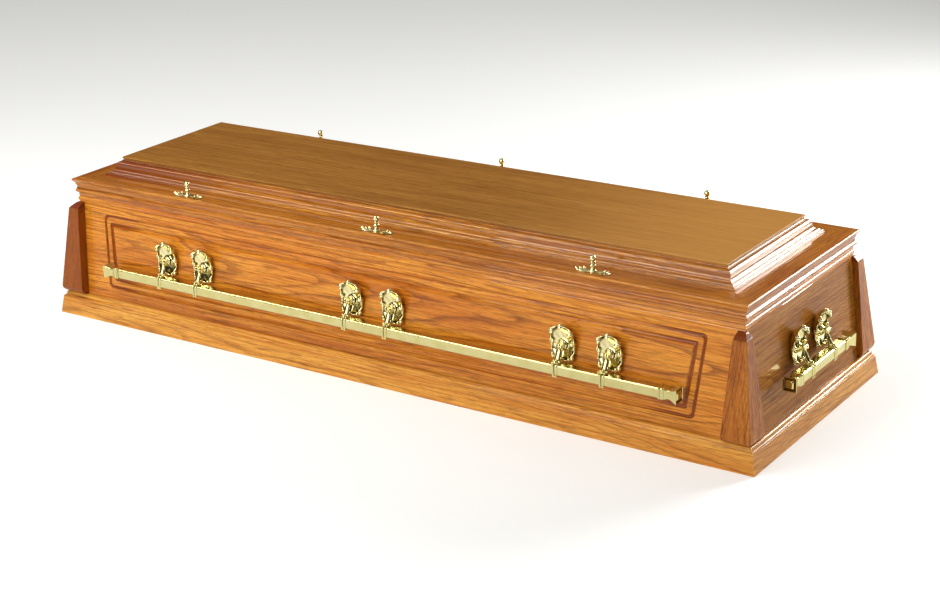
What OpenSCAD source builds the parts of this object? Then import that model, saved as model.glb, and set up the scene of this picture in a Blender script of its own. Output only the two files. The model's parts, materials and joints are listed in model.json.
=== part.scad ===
// Wooden coffin with leaning sides, a moulded plinth, corner posts,
// a raised lid and cast brass bar handles.
// Millimetres, +Z up, +X along the length, origin at the bottom centre.

/* [Body] */
// Length over the end panels, at their top edge
body_l = 1980; // [1400:5:2300]
// Width over the side panels, at their top edge
body_w = 574; // [480:2:760]
// Height of the side and end panels
body_h = 334; // [300:1:440]
// Lean of every side, in degrees from upright
lean = 7.125; // [2:0.125:10]
// Thickness of the side and end panels
panel_t = 20; // [16:0.5:28]
// Thickness of the floor board
floor_t = 18; // [12:1:30]

/* [Plinth] */
// Height of the plinth moulding
plinth_h = 62; // [50:1:90]
// Thickness of the plinth moulding at the ground
plinth_t = 18; // [16:0.5:30]
// Height of the steps and the cove above the plinth's plain face
plinth_step_h = 14; // [12:1:20]

/* [Corner posts] */
// How far the posts stand out from the side panels
post_side_proud = 27; // [12:1:40]
// How far the posts stand out from the end panels
post_end_proud = 16; // [12:1:40]
// Width of each post face at its top
post_top_w = 34; // [25:1:60]
// Width of each post face at its foot
post_foot_w = 74; // [50:1:110]
// Height of the rounded foot of a post
post_foot_h = 18; // [8:1:24]
// Height of the rounded head of a post
post_head_h = 14; // [6:1:24]

/* [Side panel groove] */
// Distance from the posts' rounded foot up to the groove frame
groove_low = 10; // [4:1:30]
// Distance from the posts' rounded head down to the groove frame
groove_high = 8; // [4:1:30]
// Gap between the posts and the groove frame, at its top
groove_gap = 72; // [40:1:120]
// How much each end of the groove frame moves in towards its foot
groove_taper = 18; // [0:1:40]
// Depth of the grooves
groove_d = 4; // [2:0.5:6]

/* [Lid] */
// How far the lid's rim overhangs the panels' top edge
lid_over = 15.5; // [12:0.5:30]
// Height of the lid's rim
rim_h = 45; // [40:1:60]
// Thickness of the flat part of the rim
rim_t = 20; // [14:1:28]
// Width of the rim boards
rim_w = 90; // [84:1:120]
// Distance from the rim's edge in to the raised moulding
raise_in = 64; // [56:1:80]
// Height of the raised moulding
raise_h = 39; // [30:1:60]
// Thickness of the moulded edge of the top panel
lip_t = 9; // [7:0.5:14]
// Thickness of the rest of the top panel
top_t = 18; // [15:1:24]
// Height of the bead moulding under the rim
bead_h = 22; // [16:1:30]
// How far the bead moulding stands out
bead_proud = 6; // [4:0.5:10]

/* [Handles] */
// Distance from a side bar's end in to its outermost bracket
bracket_in = 151; // [60:1:220]
// Distance from the middle of a pair to each bracket
pair_half = 62; // [50:1:70]
// Distance from the bead moulding down to the middle of a backplate
plate_drop = 105; // [80:1:115]
// Height of a backplate
plate_h = 94; // [80:1:110]
// Width of a backplate
plate_w = 68; // [50:1:90]
// Thickness of a backplate
plate_t = 3; // [2:0.5:5]
// Distance from the panel out to the hinge pin
hinge_out = 26; // [22:1:40]
// Distance from the middle of a backplate down to the hinge pin
hinge_drop = 6; // [0:1:12]
// Radius of the hinge pin
pin_r = 2.5; // [2:0.1:3.5]
// Radial clearance of the arm's eye on the pin
pin_fit = 0.06; // [0.02:0.01:0.1]
// Side gap between the arm's eye and each ear
ear_gap = 0.3; // [0.2:0.1:0.6]
// How far the bar hangs below the hinge pin
bar_drop = 52; // [46:1:70]
// How far the bar hangs out from the hinge pin
bar_out = 12; // [6:1:20]
// Width of the bar across its flats
bar_w = 25; // [20:1:32]
// Gap between the posts' upper edge and the caps of a side bar
side_bar_gap = 114.5; // [80:0.5:200]
// Gap between the posts' upper edge and the caps of an end bar
end_bar_gap = 118.5; // [90:0.5:120]
// Length of an end cap
cap_l = 42; // [30:1:60]
// Width of an end cap at its mouth
cap_w = 35; // [30:1:40]

/* [Thumb screws] */
// Distance from the side panel's face in to the middle of a thumb screw
screw_set = 5.5; // [5:0.5:10]
// Length of a thumb screw's base plate
screw_plate_l = 92; // [60:1:120]
// Height of the turned head above its base plate
screw_h = 38; // [30:1:60]
// Radius of the ball on top
ball_r = 7.5; // [5:0.5:9]
// Radius of the shank
shank_r = 3; // [2:0.25:4]
// Radial clearance of the shank in the plate, the rim and the panel
shank_fit = 0.25; // [0.1:0.05:0.5]
// Depth of the shank in the side panel
shank_d = 20; // [10:1:30]

/* [Hidden] */
$fn = 48;

slope = tan(lean);
far = body_l + body_w;             // longer than anything that is cut
post_top_z = body_h - bead_h - post_head_h;
post_foot_z = plinth_h + post_foot_h;
post_in_x = hx(post_top_z) + post_end_proud - post_top_w;   // inner edges of the posts' tops
post_in_y = hy(post_top_z) + post_side_proud - post_top_w;
side_bar_half = post_in_x - side_bar_gap - cap_l;
end_bar_half = post_in_y - end_bar_gap - cap_l;
pair_x = side_bar_half - bracket_in - pair_half;
plate_z = body_h - bead_h - plate_drop;
screw_x = pair_x;                  // the screws stand over the pairs of brackets
screw_in = lid_over + screw_set;   // in from the rim's edge
groove_z0 = post_foot_z + groove_low;
groove_z1 = post_top_z - groove_high;
groove_w = 9;                      // width of the outer groove, of the ridge
ridge_w = 12;                      // inside it and of each inner step
step_w = 7;
plinth_lean = 7.5;                 // how far the plinth's face leans in
rim_a = body_l / 2 + lid_over;     // half length and half width of the rim
rim_b = body_w / 2 + lid_over;
rim_z = body_h + rim_h;
raise_z = rim_z + raise_h;
plinth_a = hx(0) + plinth_t;
plinth_b = hy(0) + plinth_t;
bead_a = body_l / 2 + bead_proud;
bead_b = body_w / 2 + bead_proud;
raised_w = 72;                     // width of the raised moulding, and how much of it
raised_show = 35.5;                // stands outside the top panel's edge
lip_in = raise_in + raised_show;
frame_in = raise_in + raised_w;
panel_gap = 1;                     // top panel's play inside the raised moulding
mitre_in = 40;                     // how far the mitres of the plinth and the bead reach in
eye_r = 6;                         // the arm's eye on the hinge pin
eye_w = 9;
ear_t = 3.5;                       // each ear beside it
boss_r = 10;                       // the turned boss that carries the ears
seat_h = 4;                        // the round seat under a thumb screw's head
seat_r = 9;

oak = "peru";
dark_oak = "sienna";
brass = "khaki";

// Half length and half width of the body over its panels at height z
function hx(z) = body_l / 2 + slope * (body_h - z);
function hy(z) = body_w / 2 + slope * (body_h - z);

// Points on an arc from angle a0 to angle a1, with radii rx and ry
function arc(cx, cy, rx, ry, a0, a1, n = 6) =
    [for (i = [0:n]) let (t = a0 + (a1 - a0) * i / n) [cx + rx * cos(t), cy + ry * sin(t)]];

// ---- helpers -------------------------------------------------------------

// A profile drawn as [inward, up], run along the front edge of a rectangle
// of half sizes a and b and cut to a mitre at both ends
module front_run(a, b, depth, z0, z1) {
    intersection() {
        translate([-a, -b, 0]) rotate([90, 0, 90]) linear_extrude(2 * a) children();
        translate([0, 0, z0]) linear_extrude(z1 - z0)
            polygon([[-a, -b], [a, -b], [a - depth, depth - b], [depth - a, depth - b]]);
    }
}

// The same profile, run along the right-hand edge
module right_run(a, b, depth, z0, z1) {
    intersection() {
        translate([a, -b, 0]) rotate([90, 0, 180]) linear_extrude(2 * b) children();
        translate([0, 0, z0]) linear_extrude(z1 - z0)
            polygon([[a, -b], [a, b], [a - depth, b - depth], [a - depth, depth - b]]);
    }
}

// Prisms with an outline drawn in the XZ plane or in the YZ plane
module across_y() {
    rotate([90, 0, 0]) linear_extrude(far, center = true) children();
}
module across_x() {
    rotate([90, 0, 90]) linear_extrude(far, center = true) children();
}

// The body's outer form, moved in by inset, between two heights
module x_form(inset, z0, z1) {
    across_y() polygon([[inset - hx(z0), z0], [hx(z0) - inset, z0],
        [hx(z1) - inset, z1], [inset - hx(z1), z1]]);
}
module y_form(inset, z0, z1) {
    across_x() polygon([[inset - hy(z0), z0], [hy(z0) - inset, z0],
        [hy(z1) - inset, z1], [inset - hy(z1), z1]]);
}
module body_form(inset, z0, z1) {
    intersection() {
        x_form(inset, z0, z1);
        y_form(inset, z0, z1);
    }
}

// Frames on the leaning faces: local X along the face, Z up it, -Y out of it
module on_front(x, z) {
    translate([x, -hy(z), z]) rotate([-lean, 0, 0]) children();
}
module on_right(y, z) {
    translate([body_l / 2, 0, 0]) translate([hx(z) - body_l / 2, y, z])
        rotate([0, -lean, 0]) rotate([0, 0, 90]) children();
}

// ---- body ----------------------------------------------------------------

module floor_board() {
    color(oak) body_form(panel_t, 0, floor_t);
}

// Outline of the groove frame on the panel's face, moved in by inset
module groove_outline(inset) {
    half_h = (groove_z1 - groove_z0) / 2 / cos(lean) - inset;
    top = post_in_x - groove_gap - inset;
    foot = top - groove_taper;
    r = max(12 - inset / 3, 2);
    polygon(concat(arc(top - r, half_h - r, r, r, 0, 90), arc(r - top, half_h - r, r, r, 90, 180),
        arc(r - foot, r - half_h, r, r, 180, 270), arc(foot - r, r - half_h, r, r, 270, 360)));
}

// A closed groove between two insets of the groove frame
module groove(from, to, d) {
    rotate([90, 0, 0]) translate([0, 0, -d]) linear_extrude(d + 1) difference() {
        groove_outline(from);
        groove_outline(to);
    }
}

module front_side_panel() {
    color(oak) difference() {
        intersection() {
            across_x() polygon([[-hy(0), 0], [panel_t - hy(0), 0],
                [panel_t - hy(body_h), body_h], [-hy(body_h), body_h]]);
            x_form(0, 0, body_h);
        }
        on_front(0, (groove_z0 + groove_z1) / 2) {
            groove(0, groove_w, groove_d);
            groove(groove_w + ridge_w, groove_w + ridge_w + step_w, groove_d);
            groove(groove_w + ridge_w + step_w, groove_w + ridge_w + 2 * step_w, groove_d / 2);
        }
        for (i = [-1:1]) translate([i * screw_x, screw_in - rim_b, body_h - shank_d - 1])
            cylinder(r = shank_r + shank_fit, h = shank_d + 2);
    }
}

module right_end_panel() {
    color(oak) intersection() {
        across_y() polygon([[hx(0) - panel_t, 0], [hx(0), 0],
            [hx(body_h), body_h], [hx(body_h) - panel_t, body_h]]);
        y_form(panel_t, 0, body_h);
    }
}

module plinth_profile() {
    top = plinth_t + slope * plinth_h;
    face = plinth_h - plinth_step_h;
    polygon(concat([[0, 0], [plinth_lean, face], [plinth_lean + 2, face], [plinth_lean + 2, face + 1.5]],
        arc(plinth_lean + 2, plinth_h - 6.5, 4.5, plinth_h - 8 - face, 270, 360, 4),
        arc(plinth_lean + 15.5, plinth_h - 5.5, 9, 5.5, 180, 90, 4),
        [[top, plinth_h], [plinth_t, 0]]));
}

module front_plinth_moulding() {
    color(oak) front_run(plinth_a, plinth_b, mitre_in, 0, plinth_h) plinth_profile();
}
module right_plinth_moulding() {
    color(oak) right_run(plinth_a, plinth_b, mitre_in, 0, plinth_h) plinth_profile();
}

module bead_profile() {
    low = body_h - bead_h;
    polygon(concat([[bead_proud - slope * bead_h, low], [bead_proud - slope * bead_h - 1.5, low]],
        arc(4.5, low + 8.5, 4.5, 6.5, 250, 90, 6),
        [[2.5, low + 16], [2.5, body_h], [bead_proud, body_h]]));
}

module front_bead_moulding() {
    color(oak) front_run(bead_a, bead_b, mitre_in, body_h - bead_h, body_h) bead_profile();
}
module right_bead_moulding() {
    color(oak) right_run(bead_a, bead_b, mitre_in, body_h - bead_h, body_h) bead_profile();
}

// Outline of a post seen along one side: outer is where its face stands at
// height z, with a rounded foot on the plinth and a rounded head at the body
module post_outline(top, foot, head, proud) {
    foot_in = 0.75 * proud;
    polygon(concat([[0, plinth_h]],
        arc(foot - foot_in, post_foot_z, foot_in, post_foot_h, 270, 360, 5),
        [for (i = [0:5]) [top - (top - head) * i / 5, post_top_z + post_head_h * sin(18 * i)]],
        [[0, post_top_z + post_head_h]]));
}

module front_right_post() {
    z0 = post_foot_z;
    z1 = post_top_z;
    head = z1 + post_head_h;
    a0 = hx(z0) + post_end_proud;
    a1 = hx(z1) + post_end_proud;
    b0 = hy(z0) + post_side_proud;
    b1 = hy(z1) + post_side_proud;
    taper = (post_foot_w - post_top_w - (a0 - a1)) / (z1 - z0);
    reach = taper * (z0 - plinth_h);
    rise = taper * post_head_h;
    color(dark_oak) difference() {
        intersection() {
            across_y() post_outline(a1, a0, hx(head), post_end_proud);
            mirror([0, 1, 0]) across_x() post_outline(b1, b0, hy(head), post_side_proud);
            across_y() polygon([[a0 - post_foot_w - reach, plinth_h], [far, plinth_h],
                [far, head], [a1 - post_top_w + rise, head]]);
            across_x() polygon([[post_foot_w - b0 + reach, plinth_h], [-far, plinth_h],
                [-far, head], [post_top_w - b1 - rise, head]]);
        }
        body_form(0, 0, body_h);
    }
}

// ---- lid -----------------------------------------------------------------

module rim_profile() {
    low = body_h;
    cove_in = 6.86;                // where both ends of the cove stand in from the edge
    cove_low = low + 14.14;
    cove_top = rim_z - 18.14;
    cove_r = (cove_top - cove_low) / 2 / sin(45);
    polygon(concat([[rim_w / 2, low], [12, low], [12, low + 4.5]],
        arc(10, low + 9, 4.5, 4.5, 270, 90, 8),
        arc(cove_in - cove_r * cos(45), (cove_low + cove_top) / 2, cove_r, cove_r, -45, 45, 6),
        [[6.9, rim_z - 14], [0.7, rim_z - 7.5]],
        arc(4, rim_z - 5, 4, 3.5, 200, 100, 5),
        [[9, rim_z], [rim_w, rim_z], [rim_w, rim_z - rim_t], [rim_w / 2, rim_z - rim_t]]));
}

module screw_holes() {
    for (i = [-1:1]) translate([i * screw_x, screw_in - rim_b, body_h - 1])
        cylinder(r = shank_r + shank_fit, h = rim_h + 2);
}

module front_lid_rail() {
    color(oak) difference() {
        front_run(rim_a, rim_b, rim_w, body_h, rim_z) rim_profile();
        screw_holes();
    }
}
module right_lid_rail() {
    color(oak) right_run(rim_a, rim_b, rim_w, body_h, rim_z) rim_profile();
}

module raised_profile() {
    b = raise_in;
    h = raise_h;
    translate([0, rim_z]) polygon(concat([[b, 0], [b, 2], [b + 2, 2]],
        arc(b + 4.5, 4.2, 2.5, 2.2, 200, 60, 5),
        [[b + 7.5, 5.6], [b + 7.5, 7]],
        arc(b + 14, 6, 6, 4.5, 160, 90, 4),
        arc(b + 14.5, h - 13.5, 8, h - 24, 270, 350, 6),
        arc(b + 33, h - 11.5, 10.5, 8, 180, 100, 6),
        arc(b + 36.5, h - 1.8, 2, 1.8, 230, 100, 4),
        [[frame_in, h], [frame_in, h - 12], [b + 44, 0]]));
}

module front_raised_moulding() {
    color(dark_oak) front_run(rim_a, rim_b, frame_in, rim_z, raise_z) raised_profile();
}
module right_raised_moulding() {
    color(oak) right_run(rim_a, rim_b, frame_in, rim_z, raise_z) raised_profile();
}

// Half outline of the top panel's moulded lip, mirrored about the middle
module lip_outline(half) {
    right = concat([[half - 2.5, raise_z], [half - 2.5, raise_z + lip_t - 6.5]],
        arc(half - 3, raise_z + lip_t - 3.2, 3, 3.2, -80, 90, 6));
    n = len(right);
    polygon(concat(right, [for (i = [1:n]) [-right[n - i][0], right[n - i][1]]]));
}

module lid_top_panel() {
    inner_a = rim_a - frame_in - panel_gap;
    inner_b = rim_b - frame_in - panel_gap;
    color(oak) union() {
        intersection() {
            across_y() lip_outline(rim_a - lip_in);
            across_x() lip_outline(rim_b - lip_in);
        }
        translate([-inner_a, -inner_b, raise_z + lip_t - top_t])
            cube([2 * inner_a, 2 * inner_b, top_t - 1]);
    }
}

// ---- brass ---------------------------------------------------------------

// Outline of a palmette: a lobed fan above, a waist and two scrolls below
module palmette() {
    polygon([for (t = [0:5:355])
        let (lobe = t < 180 ? 0.07 * cos(9 * (t - 90)) : 0.10 * cos(3 * (t - 270)),
             waist = 1 - 0.22 * pow(cos(t), 4) * (1 + sin(t)) / 2,
             r = (1 + lobe) * waist * 0.93)
        [plate_w / 2 * r * cos(t), plate_h / 2 * r * sin(t)]]);
}

// One leaf, drawn upwards from the origin and laid on the plate
module leaf(angle, l, w, d) {
    rotate([90, 0, 0]) rotate([0, 0, angle]) linear_extrude(d)
        polygon([for (i = [-8:8]) let (s = 1 - abs(i) / 8)
            [(i < 0 ? -1 : 1) * w / 2 * sin(150 * s), l * (0.35 + 0.65 * pow(1 - s, 0.8))]]);
}

// A backplate with its turned boss, two ears and the hinge pin, in the frame
// of a leaning face
module backplate() {
    ear_x = eye_w / 2 + ear_gap;
    neck = hinge_out - eye_r - 1.5;
    color(brass) union() {
        rotate([90, 0, 0]) linear_extrude(plate_t) palmette();
        for (i = [-2:2]) leaf(28 * i, plate_h * 0.47, 13, plate_t + 4 - abs(i));
        for (s = [-1, 1]) translate([s * plate_w * 0.27, 0, -plate_h * 0.36])
            rotate([90, 0, 0]) cylinder(r = 7, h = plate_t + 3.5);
        translate([0, 0, -hinge_drop]) {
            rotate([90, 0, 0]) rotate_extrude() polygon([[0, 0], [boss_r + 3, 0], [boss_r + 3, 5],
                [boss_r, 7], [boss_r, 10], [boss_r + 1.5, 12], [boss_r, 14],
                [boss_r, neck - 2], [boss_r - 2, neck], [0, neck]]);
            for (s = [-1, 1]) translate([s * (ear_x + ear_t / 2), -hinge_out, 0]) {
                rotate([0, 90, 0]) cylinder(r = eye_r, h = ear_t, center = true);
                translate([-ear_t / 2, 0, -eye_r + 1]) cube([ear_t, hinge_out - neck + 1, 2 * eye_r - 2]);
            }
            translate([0, -hinge_out, 0]) rotate([0, 90, 0])
                cylinder(r = pin_r, h = 2 * ear_x + 2 * ear_t - 1, center = true);
        }
    }
}

// Where the hinge pin and the bar stand, out from the panel's plane at
// plate_z and up from the ground
hinge_dy = hinge_out * cos(lean) + hinge_drop * sin(lean);
hinge_z = plate_z + hinge_out * sin(lean) - hinge_drop * cos(lean);
bar_dy = hinge_dy + bar_out;
bar_z = hinge_z - bar_drop;

// Square section with its corners cut off
module bar_section(w, cut) {
    h = w / 2;
    c = h - cut;
    polygon([[h, -c], [h, c], [c, h], [-c, h], [-h, c], [-h, -c], [-c, -h], [c, -h]]);
}

// Flared end cap: a collar, a waist and a mouth that opens out, built from
// short steps along X
module end_cap() {
    n = 8;
    rotate([90, 0, 90]) {
        translate([0, 0, -6]) linear_extrude(6) bar_section(bar_w + 5, 5);
        for (i = [0:n - 1]) translate([0, 0, cap_l * i / n - 0.5])
            linear_extrude(cap_l / n + 0.5)
                bar_section(bar_w + 1 + (cap_w - bar_w - 1) * pow(i / (n - 1), 2.2), 5 - 3 * i / n);
        translate([0, 0, cap_l - 1]) linear_extrude(3) bar_section(cap_w - 9, 4);
    }
}

// One arm in the hinge's frame: eye, waisted shank, rosette and the collar
// that grips the bar
module arm() {
    top = bar_w / 2 + 3;
    run = bar_drop - top;
    rotate([0, 90, 0]) cylinder(r = eye_r, h = eye_w, center = true);
    rotate([90, 0, 90]) linear_extrude(eye_w - 1, center = true)
        polygon([[-3.5, 0], [3.5, 0], [3.5 - bar_out * 0.8, -run], [-3.5 - bar_out * 0.8, -run]]);
    translate([0, -bar_out, -run]) {
        translate([0, 1, 0]) sphere(r = 6.5);
        for (s = [-1, 1]) translate([8 * s, 0, -1.5]) sphere(r = 4);
        translate([0, -7, -1.5]) sphere(r = 4);
    }
    translate([0, -bar_out, -bar_drop]) {
        rotate([90, 0, 90]) linear_extrude(12, center = true) bar_section(bar_w + 6, 7);
        translate([0, 0, -bar_w / 2 - 2]) sphere(r = 4.5);
    }
}

// A bar with arms at the given places, hung on its own line of pins
module bar_handle(places, half) {
    color(brass) difference() {
        union() {
            for (x = places) translate([x, 0, 0]) arm();
            translate([0, -bar_out, -bar_drop]) {
                rotate([90, 0, 90]) linear_extrude(2 * half, center = true) bar_section(bar_w, 5);
                translate([half, 0, 0]) end_cap();
                mirror([1, 0, 0]) translate([half, 0, 0]) end_cap();
            }
        }
        for (x = places) translate([x, 0, 0]) rotate([0, 90, 0])
            cylinder(r = pin_r + pin_fit, h = eye_w + 2, center = true);
    }
}

side_places = [for (p = [-1:1], s = [-1, 1]) p * pair_x + s * pair_half];
end_places = [for (s = [-1, 1]) s * pair_half];

module front_plate(i) {
    on_front(side_places[i], plate_z) backplate();
}
module right_plate(i) {
    on_right(end_places[i], plate_z) backplate();
}
module front_bar_handle() {
    translate([0, -hy(plate_z) - hinge_dy, hinge_z]) bar_handle(side_places, side_bar_half);
}
module right_bar_handle() {
    translate([hx(plate_z) + hinge_dy, 0, hinge_z]) rotate([0, 0, 90])
        bar_handle(end_places, end_bar_half);
}

// Long leafy base plate with a round seat for the screw's head
module screw_plate(i) {
    l = screw_plate_l / 2;
    color(brass) translate([(i - 1) * screw_x, screw_in - rim_b, rim_z]) difference() {
        union() {
            linear_extrude(2) polygon([for (t = [0:6:354])
                let (w = 6.5 + 3.5 * cos(6 * t) * abs(sin(t)))
                [l * cos(t), (w + 4 * pow(abs(sin(t)), 6)) * sin(t)]]);
            cylinder(r = seat_r, h = seat_h);
            for (s = [-1, 1]) translate([s * l * 0.55, 0, 0]) cylinder(r = 4, h = 3.5);
        }
        translate([0, 0, -1]) cylinder(r = shank_r + shank_fit, h = seat_h + 2);
    }
}

// Turned head with a ball on top, and the plain shank that goes down
// through the rim into the side panel
module thumb_screw(i) {
    h = screw_h;
    down = seat_h + rim_h + shank_d;
    color(brass) translate([(i - 1) * screw_x, screw_in - rim_b, rim_z + seat_h]) union() {
        rotate_extrude() polygon(concat([[0, 0], [8, 0], [8, 2], [6.5, 4], [5, 8], [5, h * 0.3],
            [6.5, h * 0.36], [6.5, h * 0.42], [4.8, h * 0.46], [4.5, h * 0.6],
            [5.5, h * 0.64], [5.5, h * 0.68], [4.5, h * 0.72], [0, h * 0.78]]));
        translate([0, 0, h - ball_r]) sphere(r = ball_r);
        translate([0, 0, -down]) cylinder(r = shank_r, h = down + 1);
    }
}

// ---- nodes ---------------------------------------------------------------

module back() {
    mirror([0, 1, 0]) children();
}
module left() {
    mirror([1, 0, 0]) children();
}

floor_board();
front_side_panel();
back() front_side_panel();  // back_side_panel
right_end_panel();
left() right_end_panel();  // left_end_panel
front_plinth_moulding();
back() front_plinth_moulding();  // back_plinth_moulding
right_plinth_moulding();
left() right_plinth_moulding();  // left_plinth_moulding
front_bead_moulding();
back() front_bead_moulding();  // back_bead_moulding
right_bead_moulding();
left() right_bead_moulding();  // left_bead_moulding
front_right_post();
left() front_right_post();  // front_left_post
back() front_right_post();  // back_right_post
left() back() front_right_post();  // back_left_post
front_lid_rail();
back() front_lid_rail();  // back_lid_rail
right_lid_rail();
left() right_lid_rail();  // left_lid_rail
front_raised_moulding();
back() front_raised_moulding();  // back_raised_moulding
right_raised_moulding();
left() right_raised_moulding();  // left_raised_moulding
lid_top_panel();
front_bar_handle();
back() front_bar_handle();  // back_bar_handle
right_bar_handle();
left() right_bar_handle();  // left_bar_handle
for (i = [0:5]) {
    front_plate(i);
    back() front_plate(i);
}
for (i = [0:1]) {
    right_plate(i);
    left() right_plate(i);
}
for (i = [0:2]) {
    screw_plate(i);
    back() screw_plate(i);
    thumb_screw(i);
    back() thumb_screw(i);
}
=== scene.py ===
"""Looks of the wooden coffin: lacquered oak boards and mouldings, polished brass handles,
backplates and thumb screws. Shapes are drawn in millimetres in the row frame and turned
into metres when a piece is made."""

import json
import math

import bmesh
import bpy
from mathutils import Matrix, Vector


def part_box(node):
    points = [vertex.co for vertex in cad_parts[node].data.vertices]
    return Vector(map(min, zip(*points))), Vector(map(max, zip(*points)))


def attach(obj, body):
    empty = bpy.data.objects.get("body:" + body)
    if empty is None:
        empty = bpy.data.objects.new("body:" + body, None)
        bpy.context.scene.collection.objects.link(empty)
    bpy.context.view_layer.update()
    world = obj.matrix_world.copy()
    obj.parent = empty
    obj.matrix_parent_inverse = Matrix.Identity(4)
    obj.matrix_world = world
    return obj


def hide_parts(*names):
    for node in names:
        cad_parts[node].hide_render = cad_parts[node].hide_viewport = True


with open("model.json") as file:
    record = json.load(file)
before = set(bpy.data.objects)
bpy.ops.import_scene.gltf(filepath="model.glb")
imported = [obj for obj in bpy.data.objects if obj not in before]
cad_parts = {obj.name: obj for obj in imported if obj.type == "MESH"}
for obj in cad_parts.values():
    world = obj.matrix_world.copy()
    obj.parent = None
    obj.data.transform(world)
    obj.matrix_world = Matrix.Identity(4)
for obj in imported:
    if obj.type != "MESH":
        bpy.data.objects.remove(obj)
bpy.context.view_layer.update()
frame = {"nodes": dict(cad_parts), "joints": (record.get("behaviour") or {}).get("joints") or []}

MM = 0.001
LEAN = math.radians(7.125)
SLOPE = math.tan(LEAN)
SIDES = ("front", "right", "back", "left")
TURNS = {"front": 0.0, "right": math.pi / 2, "back": math.pi, "left": -math.pi / 2}


# ---- sizes taken from the frame ------------------------------------------------------


def box_mm(node):
    """Lowest and highest corner of a CAD node, in millimetres."""
    lo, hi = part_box(node)
    return lo / MM, hi / MM


RAIL_LO, RAIL_HI = box_mm("front_lid_rail")
RIM_A = RAIL_HI.x
RIM_B = -RAIL_LO.y
BODY_H = RAIL_LO.z
RIM_Z = RAIL_HI.z
BODY_A = box_mm("right_end_panel")[1].x - SLOPE * BODY_H
BODY_B = -box_mm("front_side_panel")[0].y - SLOPE * BODY_H
PLINTH_LO, PLINTH_HI = box_mm("front_plinth_moulding")
PLINTH_A = PLINTH_HI.x
PLINTH_B = -PLINTH_LO.y
PLINTH_H = PLINTH_HI.z
BEAD_LO, BEAD_HI = box_mm("front_bead_moulding")
RAISE_LO, RAISE_HI = box_mm("front_raised_moulding")
RAISE_IN = RIM_B + RAISE_LO.y
RAISE_Z = RAISE_HI.z
TOP_LO, TOP_HI = box_mm("lid_top_panel")
POST_LO, POST_HI = box_mm("front_right_post")
SCREW_LOW = box_mm("front_thumb_screw_2")[0].z
SCREW_TOP = box_mm("front_thumb_screw_2")[1].z


# ---- sizes of the finer parts, in millimetres ------------------------------------------

PANEL_T = 20  # thickness of the side boards
PLINTH_T = 18  # thickness of the plinth at its foot
PLINTH_STEP = 14  # height of the moulding along the plinth's top
PLINTH_LEAN = 7.5  # how far the plinth's face leans in
LID_T = 20  # thickness of the lid rails inside their moulded edge
POST_SIDE = 27  # how far a post stands off the long side, and off the end
POST_END = 16
POST_TOP_W = 34  # width of a post's legs below its head, and above its foot
POST_FOOT_W = 74
POST_FOOT_H = 18  # height of its rounded foot, and of its rounded head
POST_HEAD_H = 14
POST_FOOT_Z = PLINTH_H + POST_FOOT_H
POST_TOP_Z = POST_HI.z - POST_HEAD_H
GROOVE_GAP = 72  # from a post to the groove frame, and how far the frame's ends lean
GROOVE_TAPER = 18
GROOVE_LOW = 10  # the frame's distance from the posts' feet and heads
GROOVE_HIGH = 8
SCREW_HOLE_R = 3.25  # holes for the thumb screws, and how deep they run in the side board
SCREW_HOLE_DEPTH = 21
SEAT_H = 4  # the round seat under a thumb screw
PLATE_Z = BEAD_LO.z - 105  # height of a backplate's middle
HINGE_DROP = 6  # the hinge pin, below that middle and out from the board
HINGE_OUT = 26
BAR_DROP = 52  # the bar, below the pin and out from it
BAR_OUT = 12
BAR_W = 25  # the bar's width
CAP_L = 42  # the end caps' length, and the width of their mouth
CAP_W = 34.98
EYE_W = 9  # the arm's eye, along the pin
EAR_GAP = 0.35  # between the eye and each ear
PIN_R = 2.5
LOBES = 9  # lobes of the backplate's fan if it went all the way round
SCROLLS = 8  # the same for its lower half


def hx(z):
    """Half length of the body over its end panels at height z."""
    return BODY_A + SLOPE * (BODY_H - z)


def hy(z):
    """Half width of the body over its side panels at height z."""
    return BODY_B + SLOPE * (BODY_H - z)


# ---- drawing -------------------------------------------------------------------------


def arc(cx, cy, rx, ry, a0, a1, n=10):
    """Points on an arc of an ellipse, from angle a0 to a1 in degrees."""
    turns = [math.radians(a0 + (a1 - a0) * i / n) for i in range(n + 1)]
    return [(cx + rx * math.cos(t), cy + ry * math.sin(t)) for t in turns]


def soften(points, r, steps=3, flat=150):
    """A closed outline with each corner sharper than flat degrees rounded by about r."""
    out = []
    for i, here in enumerate(points):
        p = Vector(here)
        a = Vector(points[i - 1]) - p
        b = Vector(points[(i + 1) % len(points)]) - p
        if a.length < 1e-6 or math.degrees(a.angle(b, math.pi)) > flat:
            out.append(tuple(p))
            continue
        cut = min(r, 0.45 * a.length, 0.45 * b.length)
        s = p + a.normalized() * cut
        e = p + b.normalized() * cut
        for k in range(steps + 1):
            t = k / steps
            out.append(tuple((1 - t) ** 2 * s + 2 * t * (1 - t) * p + t * t * e))
    return out


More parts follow.
